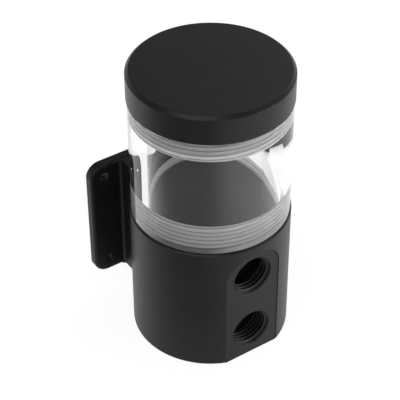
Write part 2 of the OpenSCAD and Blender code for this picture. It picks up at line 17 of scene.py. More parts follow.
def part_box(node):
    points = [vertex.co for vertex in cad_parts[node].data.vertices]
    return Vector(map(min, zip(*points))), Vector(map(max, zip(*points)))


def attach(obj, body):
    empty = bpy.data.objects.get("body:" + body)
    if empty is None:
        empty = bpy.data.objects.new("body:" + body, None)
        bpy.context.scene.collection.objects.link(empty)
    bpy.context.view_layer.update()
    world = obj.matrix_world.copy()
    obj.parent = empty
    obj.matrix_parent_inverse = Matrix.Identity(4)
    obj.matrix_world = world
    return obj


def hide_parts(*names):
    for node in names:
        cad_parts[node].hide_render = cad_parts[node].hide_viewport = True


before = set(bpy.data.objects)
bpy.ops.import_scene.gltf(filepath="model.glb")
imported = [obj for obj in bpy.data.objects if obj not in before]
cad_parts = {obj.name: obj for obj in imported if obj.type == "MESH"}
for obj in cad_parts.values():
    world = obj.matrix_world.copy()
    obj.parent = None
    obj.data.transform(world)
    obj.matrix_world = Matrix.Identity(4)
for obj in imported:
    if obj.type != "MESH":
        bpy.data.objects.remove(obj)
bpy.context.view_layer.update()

LOG = logging.getLogger("pump_reservoir")

MM = 0.001
TAU = 2 * math.pi
SHARP = math.radians(32)  # edges that bend more than this stay sharp
FLAT = math.radians(0.8)  # faces that bend less than this are joined into one
WELD = 2e-7  # reach within which a built mesh's points become one
JOIN = 2e-6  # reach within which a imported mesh's points become one
SIGHT = math.radians(-34.06)  # side from which the object is seen, turned from -Y

Colour = Tuple[float, float, float, float]
Outline = Sequence[Tuple[float, float]]


def grey(value: float, warmth: float = 0.0) -> Colour:
    """Returns a near-neutral linear colour, a little warmer where warmth is above zero."""
    return (value * (1 + warmth), value, value * (1 - warmth), 1.0)


class Body(Enum):
    """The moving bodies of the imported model."""

    PUMP = "pump_body"
    LIFT = "cap_lift"
    CAP = "cap"
    ROTOR = "rotor"


# ---------------------------------------------------------------------------
# Shader building
# ---------------------------------------------------------------------------


class Value:
    """A shader socket that takes part in Python arithmetic."""

    def __init__(self, graph: "Graph", socket: bpy.types.NodeSocket) -> None:
        """Keeps the socket and the graph that it belongs to."""
        self.graph = graph
        self.socket = socket

    def _math(self, operation: str, *terms: Union["Value", float], clamp: bool = False) -> "Value":
        """Adds one Math node.

        Args:
            operation: The Math node's operation.
            *terms: Its inputs, numbers or values.
            clamp: Whether the result stays between 0 and 1.

        Returns:
            The result as a value.
        """
        node = self.graph.node("ShaderNodeMath", {"operation": operation, "use_clamp": clamp},
                               dict(enumerate(terms)))
        return Value(self.graph, node.outputs[0])

    def __add__(self, other: Union["Value", float]) -> "Value":
        """Returns the sum."""
        return self._math("ADD", self, other)

    __radd__ = __add__

    def __sub__(self, other: Union["Value", float]) -> "Value":
        """Returns the difference."""
        return self._math("SUBTRACT", self, other)

    def __rsub__(self, other: float) -> "Value":
        """Returns the difference from a number."""
        return self._math("SUBTRACT", other, self)

    def __mul__(self, other: Union["Value", float]) -> "Value":
        """Returns the product."""
        return self._math("MULTIPLY", self, other)

    __rmul__ = __mul__

    def __truediv__(self, other: Union["Value", float]) -> "Value":
        """Returns the quotient."""
        return self._math("DIVIDE", self, other)

    def above(self, limit: float) -> "Value":
        """Returns 1 where the value is greater than limit."""
        return self._math("GREATER_THAN", self, limit)

    def below(self, limit: float) -> "Value":
        """Returns 1 where the value is less than limit."""
        return self._math("LESS_THAN", self, limit)

    def sine(self) -> "Value":
        """Returns the sine."""
        return self._math("SINE", self)

    def clamped(self) -> "Value":
        """Returns the value held between 0 and 1."""
        return self._math("ADD", self, 0.0, clamp=True)

    def fraction(self) -> "Value":
        """Returns the part after the decimal point."""
        return self._math("FRACT", self)

    def bearing(self, across: "Value") -> "Value":
        """Returns the angle whose sine side is this value and whose cosine side is across."""
        return self._math("ARCTAN2", self, across)

    def size(self) -> "Value":
        """Returns the value without its sign."""
        return self._math("ABSOLUTE", self)

    def largest(self, other: "Value") -> "Value":
        """Returns the larger of the two values."""
        return self._math("MAXIMUM", self, other)

    def ramp(self, low: float, high: float) -> "Value":
        """Returns a smooth step from 0 at low to 1 at high."""
        node = self.graph.node("ShaderNodeMapRange", {"interpolation_type": "SMOOTHSTEP"},
                               {"Value": self, "From Min": low, "From Max": high})
        return Value(self.graph, node.outputs["Result"])


class Graph:
    """The node tree of one material or of the world."""

    def __init__(self, tree: bpy.types.NodeTree) -> None:
        """Takes the tree over and empties it."""
        self.tree = tree
        tree.nodes.clear()

    def node(self, kind: str, settings: Optional[Mapping[str, object]] = None,
             inputs: Optional[Mapping[Union[str, int], object]] = None) -> bpy.types.Node:
        """Adds a node, sets it up and feeds its sockets.

        Args:
            kind: The node's type name.
            settings: Properties that are set first.
            inputs: Numbers, colours, values or sockets by socket name or index.

        Returns:
            The new node.
        """
        node = self.tree.nodes.new(kind)
        for key, setting in (settings or {}).items():
            setattr(node, key, setting)
        for key, feed in (inputs or {}).items():
            if isinstance(feed, Value):
                self.tree.links.new(feed.socket, node.inputs[key])
            elif isinstance(feed, bpy.types.NodeSocket):
                self.tree.links.new(feed, node.inputs[key])
            else:
                node.inputs[key].default_value = feed
        return node

    def place(self, centre: Vector = Vector()) -> Value:
        """Returns the Object coordinates, measured from centre."""
        where = self.node("ShaderNodeTexCoord").outputs["Object"]
        if centre.length == 0:
            return Value(self, where)
        moved = self.node("ShaderNodeMapping", {"vector_type": "POINT"},
                          {"Vector": where, "Location": tuple(-centre)})
        return Value(self, moved.outputs["Vector"])

    def axes(self, where: Value) -> Tuple[Value, Value, Value]:
        """Returns the X, Y and Z parts of a vector."""
        parts = self.node("ShaderNodeSeparateXYZ", None, {"Vector": where})
        return tuple(Value(self, parts.outputs[i]) for i in range(3))

    def radius(self, where: Value) -> Value:
        """Returns the distance from the Z axis."""
        flat = self.node("ShaderNodeVectorMath", {"operation": "MULTIPLY"},
                         {0: where, 1: (1.0, 1.0, 0.0)})
        length = self.node("ShaderNodeVectorMath", {"operation": "LENGTH"}, {0: flat.outputs[0]})
        return Value(self, length.outputs["Value"])

    def noise(self, size: float, detail: float = 2.0, where: Optional[Value] = None) -> Value:
        """Returns a cloudy pattern whose features are about size across."""
        node = self.node("ShaderNodeTexNoise", {"noise_dimensions": "3D"}, {
            "Vector": where or self.place(), "Scale": 1 / size, "Detail": detail,
            "Roughness": 0.55})
        return Value(self, node.outputs[0])

    def rings(self, distance: Value, size: float) -> Value:
        """Returns a pattern that changes with one distance alone, like tool marks."""
        node = self.node("ShaderNodeTexNoise", {"noise_dimensions": "1D"}, {
            "W": distance, "Scale": 1 / size, "Detail": 3.0, "Roughness": 0.6})
        return Value(self, node.outputs[0])

    def specks(self, cell: float, size: float, share: float) -> Value:
        """Returns 1 on sparse round specks.

        Args:
            cell: Mean distance between the places that may hold a speck.
            size: Radius of a speck, as a part of cell.
            share: Part of the places that hold one.

        Returns:
            The mask of the specks.
        """
        node = self.node("ShaderNodeTexVoronoi", {"voronoi_dimensions": "3D", "feature": "F1"},
                         {"Vector": self.place(), "Scale": 1 / cell})
        pick = self.node("ShaderNodeSeparateColor", None, {"Color": node.outputs["Color"]})
        near = Value(self, node.outputs["Distance"]).below(size)
        return near * Value(self, pick.outputs[0]).above(1 - share)

    def blend(self, factor: Union[Value, float], low: Union[Value, Colour],
              high: Union[Value, Colour]) -> Value:
        """Returns a colour between low and high."""
        node = self.node("ShaderNodeMix", {"data_type": "RGBA"}, {0: factor, 6: low, 7: high})
        return Value(self, node.outputs[2])

    def bump(self, height: Value, distance: float) -> Value:
        """Returns a normal for a relief of the given height in metres."""
        node = self.node("ShaderNodeBump", None,
                         {"Strength": 1.0, "Distance": distance, "Height": height})
        return Value(self, node.outputs["Normal"])

    def surface(self, shader: bpy.types.Node) -> None:
        """Joins a shader to the material's output."""
        self.node("ShaderNodeOutputMaterial", None, {"Surface": shader.outputs[0]})


# ---------------------------------------------------------------------------
# Finishes
# ---------------------------------------------------------------------------


@dataclass(frozen=True)
class Finish:
    """A surface finish that is built once as a node material."""

    name: str

    def material(self) -> bpy.types.Material:
        """Returns the finish's material, made on first use."""
        made = bpy.data.materials.get(self.name)
        if made is None:
            made = bpy.data.materials.new(self.name)
            made.use_nodes = True
            self.paint(Graph(made.node_tree))
        return made

    def paint(self, graph: Graph) -> None:
        """Fills the material's graph."""
        raise NotImplementedError


@dataclass(frozen=True)
class Moulding(Finish):
    """Satin engineering plastic with a fine grain, faint clouding and a few dust specks."""

    tone: float = 0.011
    warmth: float = 0.0
    roughness: float = 0.42
    specular: float = 0.34
    grain: float = 0.35 * MM
    relief: float = 0.004 * MM
    dust: float = 0.05
    dust_cell: float = 1.6 * MM

    def paint(self, graph: Graph) -> None:
        """Fills the material's graph."""
        cloud = graph.noise(9 * MM, 3.0)
        fine = graph.noise(self.grain, 3.0)
        base = graph.blend(cloud.ramp(0.3, 0.7), grey(self.tone * 0.82, self.warmth),
                           grey(self.tone * 1.2, self.warmth))
        dust = graph.specks(self.dust_cell, 0.06, self.dust)
        shader = graph.node("ShaderNodeBsdfPrincipled", None, {
            "Base Color": graph.blend(dust * 0.5, base, grey(0.35, 0.02)),
            "Roughness": self.roughness - 0.05 + cloud * 0.06 + fine * 0.05 + dust * 0.3,
            "Specular IOR Level": self.specular,
            "Normal": graph.bump(fine, self.relief)})
        graph.surface(shader)


@dataclass(frozen=True)
class Turned(Finish):
    """Black plastic turned on a lathe: rings on the faces, fine lines round the sides."""

    tone: float = 0.006
    roughness: float = 0.36
    specular: float = 0.3
    relief: float = 0.0022 * MM
    dust: float = 0.07
    centre: Tuple[float, float, float] = (0.0, 0.0, 0.0)

    def paint(self, graph: Graph) -> None:
        """Fills the material's graph."""
        where = graph.place(Vector(self.centre))
        height = graph.axes(where)[2]
        rings = graph.rings(graph.radius(where), 0.3 * MM)
        lines = graph.rings(height, 0.22 * MM)
        fine = graph.noise(0.3 * MM, 2.0)
        cloud = graph.noise(8 * MM, 3.0)
        dust = graph.specks(1.5 * MM, 0.06, self.dust)
        base = graph.blend(cloud.ramp(0.3, 0.7), grey(self.tone * 0.85, 0.01),
                           grey(self.tone * 1.15, 0.02))
        shader = graph.node("ShaderNodeBsdfPrincipled", None, {
            "Base Color": graph.blend(dust * 0.55, base, grey(0.4, 0.02)),
            "Roughness": self.roughness - 0.06 + rings * 0.05 + lines * 0.05 + fine * 0.06
            + dust * 0.3,
            "Specular IOR Level": self.specular,
            "Normal": graph.bump(rings + lines + fine * 0.4, self.relief)})
        graph.surface(shader)


@dataclass(frozen=True)
class Acrylic(Finish):
    """Clear cast acrylic: polished walls, and threads and ends left as the tool cut them; a dark
    line is painted along the root of each cut groove as painted shade.
    """

    low_z: float = 0.0
    high_z: float = 0.1
    band: float = 8.2 * MM
    wall_r: float = 19.2 * MM
    pitch: float = 1.5 * MM
    machined: float = 0.35
    polished: float = 0.004
    frost: float = 0.68
    smear: float = 0.006
    thread_room: float = 1.2 * MM
    end_t: float = 0.03 * MM
    # Band of the thread's phase over which the dark painted-shade line at each groove's root fades
    # in.
    line: Tuple[float, float] = (0.37, 0.46)

    def paint(self, graph: Graph) -> None:
        """Fills the material's graph."""
        where = graph.place()
        x, y, height = graph.axes(where)
        inner = graph.radius(where).below(self.wall_r + self.thread_room)
        low = height.below(self.low_z + self.band)
        high = height.above(self.high_z - self.band)
        ends = height.below(self.low_z + self.end_t).largest(
            height.above(self.high_z - self.end_t))
        cut = (inner * low.largest(high)).largest(ends)
        smear = graph.noise(4 * MM, 2.0).ramp(0.55, 0.8) * self.smear
        clear = graph.node("ShaderNodeBsdfPrincipled", None, {
            "Base Color": (0.985, 0.992, 0.994, 1.0),
            "Roughness": cut * (self.machined - self.polished) + self.polished + smear,
            "IOR": 1.49,
            "Transmission Weight": 1.0})
        # Painted shade: a dark line is drawn in the frosted share's colour along the root of each
        # cut groove, where the shade in the thread falls.
        turn = (height / self.pitch - y.bearing(x) / TAU).fraction()
        line = (turn - 0.5).size().ramp(*self.line)
        frosted = graph.node("ShaderNodeBsdfPrincipled", None, {
            "Base Color": graph.blend(line, grey(0.9), grey(0.12)),
            "Roughness": 0.55,
            "Specular IOR Level": 0.3})
        graph.surface(graph.node("ShaderNodeMixShader", None, {
            0: cut * self.frost, 1: clear.outputs[0], 2: frosted.outputs[0]}))


@dataclass(frozen=True)
class Rubber(Finish):
    """Black moulded rubber, dull and slightly bloomed."""

    tone: float = 0.014

    def paint(self, graph: Graph) -> None:
        """Fills the material's graph."""
        bloom = graph.noise(2.5 * MM, 4.0)
        fine = graph.noise(0.15 * MM, 2.0)
        shader = graph.node("ShaderNodeBsdfPrincipled", None, {
            "Base Color": graph.blend(bloom.ramp(0.35, 0.8), grey(self.tone), grey(self.tone * 2)),
            "Roughness": 0.55 + bloom * 0.2,
            "Specular IOR Level": 0.35,
            "Normal": graph.bump(fine, 0.003 * MM)})
        graph.surface(shader)


@dataclass(frozen=True)
class Steel(Finish):
    """Plated or bare steel with fine drawn marks."""

    tone: float = 0.5
    roughness: float = 0.3
    warmth: float = 0.0
    plate: float = 0.0

    def paint(self, graph: Graph) -> None:
        """Fills the material's graph."""
        drawn = graph.noise(0.5 * MM, 3.0)
        stain = graph.noise(1.6 * MM, 3.0)
        relief = drawn
        if self.plate:
            relief = (graph.axes(graph.place())[2] * (TAU / self.plate)).sine()
        shader = graph.node("ShaderNodeBsdfPrincipled", None, {
            "Base Color": graph.blend(stain.ramp(0.3, 0.75), grey(self.tone * 0.85, self.warmth),
                                      grey(self.tone * 1.1, self.warmth)),
            "Metallic": 1.0,
            "Roughness": self.roughness + drawn * 0.12,
            "Normal": graph.bump(relief, 0.004 * MM)})
        graph.surface(shader)


@dataclass(frozen=True)
class Compound(Finish):
    """A pale or coloured technical plastic, ceramic or sintered compound."""

    colour: Colour = (0.8, 0.78, 0.7, 1.0)
    roughness: float = 0.4
    mottle: float = 0.12
    grain: float = 0.3 * MM

    def paint(self, graph: Graph) -> None:
        """Fills the material's graph."""
        cloud = graph.noise(3 * MM, 4.0)
        fine = graph.noise(self.grain, 3.0)
        dark = tuple(c * (1 - self.mottle) for c in self.colour[:3]) + (1.0,)
        shader = graph.node("ShaderNodeBsdfPrincipled", None, {
            "Base Color": graph.blend((cloud * 0.6 + fine * 0.4).ramp(0.3, 0.7), dark, self.colour),
            "Roughness": self.roughness + fine * 0.1,
            "Normal": graph.bump(fine, 0.003 * MM)})
        graph.surface(shader)


@dataclass(frozen=True)
class Winding(Finish):
    """Enamelled copper wire, wound side by side round each pole, with painted shade and painted
    highlight across each turn.
    """

    centre: Tuple[float, float, float] = (0.0, 0.0, 0.0)
    wire: float = 0.28 * MM

    def paint(self, graph: Graph) -> None:
        """Fills the material's graph."""
        where = graph.place(Vector(self.centre))
        turn = (graph.radius(where) * (TAU / self.wire)).sine() * 0.5 + 0.5
        tone = graph.noise(0.8 * MM, 2.0)
        # Painted shade and highlight: each turn is painted dark copper on one side and bright
        # copper on the other, standing in for the shade between round wires and the light on their
        # crowns.
        wires = graph.blend(turn, (0.16, 0.035, 0.012, 1.0), (0.62, 0.2, 0.06, 1.0))
        shader = graph.node("ShaderNodeBsdfPrincipled", None, {
            "Base Color": graph.blend(tone * 0.35, wires, (0.45, 0.12, 0.03, 1.0)),
            "Metallic": 0.7,
            "Roughness": 0.28 + tone * 0.15,
            "Coat Weight": 0.5,
            "Normal": graph.bump(turn, 0.05 * MM)})
        graph.surface(shader)


@dataclass(frozen=True)
class SolderMask(Finish):
    """A green circuit board with faint copper tracks under its lacquer."""

    def paint(self, graph: Graph) -> None:
        """Fills the material's graph."""
        tracks = graph.node("ShaderNodeTexBrick", {"offset": 0.35, "squash": 1.6}, {
            "Vector": graph.place(), "Scale": 420.0, "Mortar Size": 0.06, "Bias": 0.0,
            "Color1": (0.012, 0.075, 0.03, 1.0), "Color2": (0.014, 0.09, 0.036, 1.0),
            "Mortar": (0.03, 0.16, 0.06, 1.0)})
        fine = graph.noise(0.4 * MM, 2.0)
        shader = graph.node("ShaderNodeBsdfPrincipled", None, {
            "Base Color": tracks.outputs["Color"],
            "Roughness": 0.3 + fine * 0.12,
            "Coat Weight": 0.3,
            "Normal": graph.bump(Value(graph, tracks.outputs["Fac"]), 0.02 * MM)})
        graph.surface(shader)


@dataclass(frozen=True)
class StudioFloor(Finish):
    """A white floor that shows as the background and keeps a soft shadow.

    In reflections its part in front of the object, to the left of the line of sight, is dark,
    as where the sheet ends before the camera.
    """

    glow: float = 0.89
    albedo: float = 0.8
    shadow: float = 0.14
    dark: float = 0.25
    ahead: Tuple[float, float] = (-20 * MM, 60 * MM)
    aside: Tuple[float, float] = (-20 * MM, 80 * MM)

    def paint(self, graph: Graph) -> None:
        """Fills the material's graph."""
        path = graph.node("ShaderNodeLightPath")
        seen = (Value(graph, path.outputs["Is Camera Ray"])
                + Value(graph, path.outputs["Is Glossy Ray"])
                + Value(graph, path.outputs["Is Transmission Ray"])).clamped()
        x, y, _ = graph.axes(graph.place())
        ahead = x * math.sin(SIGHT) - y * math.cos(SIGHT)
        aside = x * math.cos(SIGHT) + y * math.sin(SIGHT)
        bare = ahead.ramp(*self.ahead) * (1 - aside.ramp(*self.aside))
        mirrored = Value(graph, path.outputs["Is Glossy Ray"])
        plain = graph.node("ShaderNodeBsdfDiffuse", None, {"Color": grey(self.albedo)})
        glow = graph.node("ShaderNodeEmission", None, {
            "Color": grey(1.0),
            "Strength": self.glow - mirrored * bare * (self.glow * (1 - self.dark))})
        shadow = graph.node("ShaderNodeBsdfDiffuse", None, {"Color": grey(self.shadow)})
        white = graph.node("ShaderNodeAddShader", None,
                           {0: glow.outputs[0], 1: shadow.outputs[0]})
        graph.surface(graph.node("ShaderNodeMixShader", None,
                                 {0: seen, 1: plain.outputs[0], 2: white.outputs[0]}))


HOUSING = Moulding("housing_black", tone=0.006)
BRACKET = Moulding("bracket_black", tone=0.005, roughness=0.45, specular=0.25)
BAFFLE = Moulding("baffle_black", tone=0.022, roughness=0.5, specular=0.4, dust=0.3,
                  dust_cell=1.0 * MM)
CAP = Turned("cap_black")
COVER = Moulding("cover_black", tone=0.011, roughness=0.5, grain=0.5 * MM, relief=0.01 * MM)
SEAL = Rubber("seal_rubber")
GROMMET = Rubber("grommet_rubber", tone=0.012)
SCREW = Steel("zinc_plate", tone=0.42, roughness=0.26)


# ---------------------------------------------------------------------------
# Mesh building
# ---------------------------------------------------------------------------


def spun(bm: bmesh.types.BMesh, outline: Outline, steps: int, closed: bool = False) -> None:
    """Spins an outline of (radius, height) points once round the Z axis.

    Args:
        bm: The mesh that takes the faces.
        outline: The points of the outline, in order.
        steps: Number of steps in the full turn.
        closed: Whether the last point joins the first.
    """
    verts = [bm.verts.new((r, 0.0, z)) for r, z in outline]
    pairs = list(zip(verts, verts[1:])) + ([(verts[-1], verts[0])] if closed else [])
    edges = [bm.edges.new(pair) for pair in pairs]
    bmesh.ops.spin(bm, geom=verts + edges, cent=(0, 0, 0), axis=(0, 0, 1), dvec=(0, 0, 0),
                   angle=TAU, steps=steps, use_merge=True, use_normal_flip=False,
                   use_duplicate=False)


class Form(Enum):
    """How a thread stands on its wall."""

    RIDGE_OUT = "a ridge that stands out from a spigot"
    RIDGE_IN = "a ridge that stands in from a bore"
    GROOVE = "a groove cut into a bore, with a lead-in at its mouth"


@dataclass(frozen=True)
class Thread:
    """A right-hand V thread on a round wall that stands upright."""

    wall: float
    height: float
    pitch: float
    start: float
    end: float
    form: Form
    mouth_at_start: bool = True
    crest: float = 0.16
    root: float = 0.28
    run_out: float = 1.0
    steps: int = 180

    def rows(self) -> Sequence[float]:
        """Returns the heights of the profile's corners over the thread and one pitch below."""
        half = self.crest / 2
        flank = (1 - self.crest - self.root) / 2
        marks = (0.0, half, half + flank / 2, half + flank, 0.5)
        period = sorted(set(marks) | {1 - m for m in marks if 0 < m < 0.5})
        first = math.floor(self.start / self.pitch) - 1
        last = math.ceil(self.end / self.pitch)
        heights = [(k + m) * self.pitch for k in range(first, last + 1) for m in period]
        low, high = self.start - self.pitch, self.end
        inside = [h for h in heights if low < h < high]
        return [low] + inside + [high]

    def lift(self, phase: float) -> float:
        """Returns the profile's height, from 0 on the wall to 1 on the crest."""
        away = abs(phase - round(phase))
        flank = (1 - self.crest - self.root) / 2
        return min(1.0, max(0.0, (self.crest / 2 + flank - away) / flank))

    def radius(self, x: float, y: float, z: float) -> float:
        """Returns the threaded wall's radius above the point, at height z."""
        phase = (z - self.pitch * (math.atan2(y, x) % TAU) / TAU) / self.pitch
        mouth, inner = (self.start, self.end) if self.mouth_at_start else (self.end, self.start)
        fade = min(1.0, abs(inner - z) / (self.run_out * self.pitch))
        lead = abs(z - mouth)
        tall = self.height * self.lift(phase) * fade
        if self.form is Form.GROOVE:
            return self.wall + max(tall, self.height - lead)
        if self.form is Form.RIDGE_OUT:
            return self.wall + min(tall, lead)
        return self.wall - min(tall, lead)

    def cut(self, bm: bmesh.types.BMesh) -> None:
        """Adds the threaded wall to a mesh; the wall's two ends are level rings."""
        verts = [bm.verts.new((self.wall, 0.0, h)) for h in self.rows()]
        edges = [bm.edges.new(pair) for pair in zip(verts, verts[1:])]
        before = set(bm.verts) - set(verts)
        bmesh.ops.spin(bm, geom=verts + edges, cent=(0, 0, 0), axis=(0, 0, 1),
                       dvec=(0, 0, self.pitch / self.steps), angle=TAU, steps=self.steps,
                       use_merge=False, use_normal_flip=False, use_duplicate=False)
        for vert in set(bm.verts) - before:
            x, y, z = vert.co
            z = min(self.end, max(self.start, z))
            r = self.radius(x, y, z)
            flat = math.hypot(x, y)
            vert.co = (x * r / flat, y * r / flat, z)


def ring_edges(bm: bmesh.types.BMesh, low: float, high: float) -> Sequence[bmesh.types.BMEdge]:
    """Returns the sharp edges whose two ends lie between the heights low and high."""
    return [e for e in bm.edges if e.is_manifold and e.calc_face_angle(0.0) > SHARP
            and all(low <= v.co.z <= high for v in e.verts)]


def soften(bm: bmesh.types.BMesh, edges: Sequence[bmesh.types.BMEdge], width: float) -> None:
    """Rounds edges over by width."""
    bmesh.ops.bevel(bm, geom=list(edges), offset=width, offset_type="OFFSET", segments=2,
                    profile=0.5, affect="EDGES", clamp_overlap=True, loop_slide=True, material=-1)


def clean(bm: bmesh.types.BMesh) -> None:
    """Merges doubles, removes faces without area and points the rest outwards."""
    bmesh.ops.remove_doubles(bm, verts=bm.verts[:], dist=WELD)
    bmesh.ops.dissolve_degenerate(bm, dist=WELD, edges=bm.edges[:])
    bmesh.ops.recalc_face_normals(bm, faces=bm.faces[:])


def piece(bm: bmesh.types.BMesh, name: str, finish: Finish, body: Body,
          replaces: Sequence[str] = (), weighted: bool = False) -> bpy.types.Object:
    """Turns a mesh into a finished piece that rides on a body.

    Args:
        bm: The mesh, which is freed.
        name: The piece's name.
        finish: Its finish.
        body: The body that carries it.
        replaces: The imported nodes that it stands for.
        weighted: Whether large faces keep their own shading beside softened edges.

    Returns:
        The new object.
    """
    for face in bm.faces:
        face.smooth = True
    for edge in bm.edges:
        edge.smooth = edge.is_manifold and edge.calc_face_angle(0.0) < SHARP
    mesh = bpy.data.meshes.new(name)
    bm.to_mesh(mesh)
    bm.free()
    mesh.materials.append(finish.material())
    made = bpy.data.objects.new(name, mesh)
    bpy.context.scene.collection.objects.link(made)
    if weighted:
        modifier = made.modifiers.new("weighted", "WEIGHTED_NORMAL")
        modifier.keep_sharp = True
        modifier.mode = "FACE_AREA"
    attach(made, body.value)
    if replaces:
        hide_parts(*replaces)
    LOG.info("%s: %d faces on %s", name, len(mesh.polygons), body.value)
    return made


def node_copy(node: str) -> bmesh.types.BMesh:
    """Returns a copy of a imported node's mesh with its triangles joined into whole faces."""
    bm = bmesh.new()
    bm.from_mesh(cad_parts[node].data)
    bmesh.ops.remove_doubles(bm, verts=bm.verts[:], dist=JOIN)
    bmesh.ops.dissolve_limit(bm, angle_limit=FLAT, use_dissolve_boundaries=False,
                             verts=bm.verts[:], edges=bm.edges[:], delimit=set())
    return bm


def softened_node(node: str, name: str, finish: Finish, body: Body,
                  width: float) -> bpy.types.Object:
    """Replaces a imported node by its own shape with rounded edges.

    Args:
        node: The node's name.
        name: The new piece's name.
        finish: Its finish.
        body: The body that carries it.
        width: Width of the rounding.

    Returns:
        The new object.
    """
    bm = node_copy(node)
    sharp = [e for e in bm.edges if e.is_manifold and e.calc_face_angle(0.0) > SHARP]
    soften(bm, sharp, width)
    bmesh.ops.remove_doubles(bm, verts=bm.verts[:], dist=WELD)
    return piece(bm, name, finish, body, (node,), weighted=True)


def refinish(finish: Finish, *nodes: str) -> None:
    """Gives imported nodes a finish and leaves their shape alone."""
    for node in nodes:
        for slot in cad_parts[node].material_slots:
            slot.material = finish.material()
        LOG.info("%s: finished in %s", node, finish.name)


# ---------------------------------------------------------------------------
# Sub-assemblies
# ---------------------------------------------------------------------------


@dataclass
class Tank:
    """The clear tube with its end threads, its seals and the baffle plate."""

    bore: float = 19.2 * MM
    thread_length: float = 8.2 * MM
    thread_depth: float = 0.7 * MM
    pitch: float = 1.5 * MM
    chamfer: float = 0.4 * MM
    disc_edge: float = 0.15 * MM
    steps: int = 180

    def tube(self) -> None:
        """Builds the clear tube with a helical thread cut in each end."""
        low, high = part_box("reservoir_tube")
        bottom, top, outer = low.z, high.z, high.x
        bm = bmesh.new()
        for start, end, at_start in ((bottom, bottom + self.thread_length, True),
                                     (top - self.thread_length, top, False)):
            Thread(wall=self.bore, height=self.thread_depth, pitch=self.pitch, start=start,
                   end=end, form=Form.GROOVE, mouth_at_start=at_start, crest=0.18, root=0.28,
                   steps=self.steps).cut(bm)
        mouth = self.bore + self.thread_depth
        spun(bm, [(self.bore, bottom + self.thread_length), (self.bore, top - self.thread_length)],
             self.steps)
        spun(bm, [(mouth, bottom), (outer - self.chamfer, bottom), (outer, bottom + self.chamfer),
                  (outer, top - self.chamfer), (outer - self.chamfer, top), (mouth, top)],
             self.steps)
        clean(bm)
        acrylic = Acrylic("clear_acrylic", low_z=bottom, high_z=top, band=self.thread_length,
                          wall_r=self.bore, pitch=self.pitch)
        piece(bm, "clear_tube", acrylic, Body.PUMP, ("reservoir_tube",))

    def build(self) -> None:
        """Builds the tank's pieces."""
        self.tube()
        refinish(SEAL, "tube_seal", "cap_seal", "can_seal")
        softened_node("baffle_plate", "baffle_disc", BAFFLE, Body.PUMP,
                      self.disc_edge)


@dataclass
class ScrewCap:
    """The turned screw cap with its threaded spigot."""

    spigot: float = 18.9 * MM
    pocket: float = 15.7 * MM
    roof: float = 4.5 * MM
    chamfer: float = 1.05 * MM
    lead: float = 0.4 * MM
    thread_height: float = 0.85 * MM
    pitch: float = 1.5 * MM
    seal_groove: Tuple[float, float, float] = (21.0 * MM, 22.8 * MM, 1.3 * MM)
    head: float = 9.5 * MM
    neck: float = 0.25 * MM
    edge: float = 0.14 * MM
    steps: int = 180

    def build(self) -> None:
        """Builds the cap in one piece, rounded over at its turned edges."""
        low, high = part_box("screw_cap")
        tip, top, outer = low.z, high.z, high.x
        face = top - self.head
        groove_in, groove_out, groove_deep = self.seal_groove
        neck = face - self.neck
        bm = bmesh.new()
        Thread(wall=self.spigot, height=self.thread_height, pitch=self.pitch,
               start=tip + self.lead, end=neck, form=Form.RIDGE_OUT, crest=0.16, root=0.2,
               run_out=0.7, steps=self.steps).cut(bm)
        spun(bm, [(self.spigot, neck), (self.spigot, face), (groove_in, face),
                  (groove_in, face + groove_deep), (groove_out, face + groove_deep),
                  (groove_out, face), (outer - self.lead / 2, face),
                  (outer, face + self.lead / 2), (outer, top - self.chamfer),
                  (outer - self.chamfer, top), (outer * 0.5, top), (0.0, top)], self.steps)
        spun(bm, [(0.0, top - self.roof), (self.pocket, top - self.roof), (self.pocket, tip),
                  (self.spigot - self.lead, tip), (self.spigot, tip + self.lead)], self.steps)
        clean(bm)
        soften(bm, ring_edges(bm, face + self.lead / 2, top), self.edge)
        piece(bm, "threaded_cap", CAP, Body.CAP, ("screw_cap",), weighted=True)


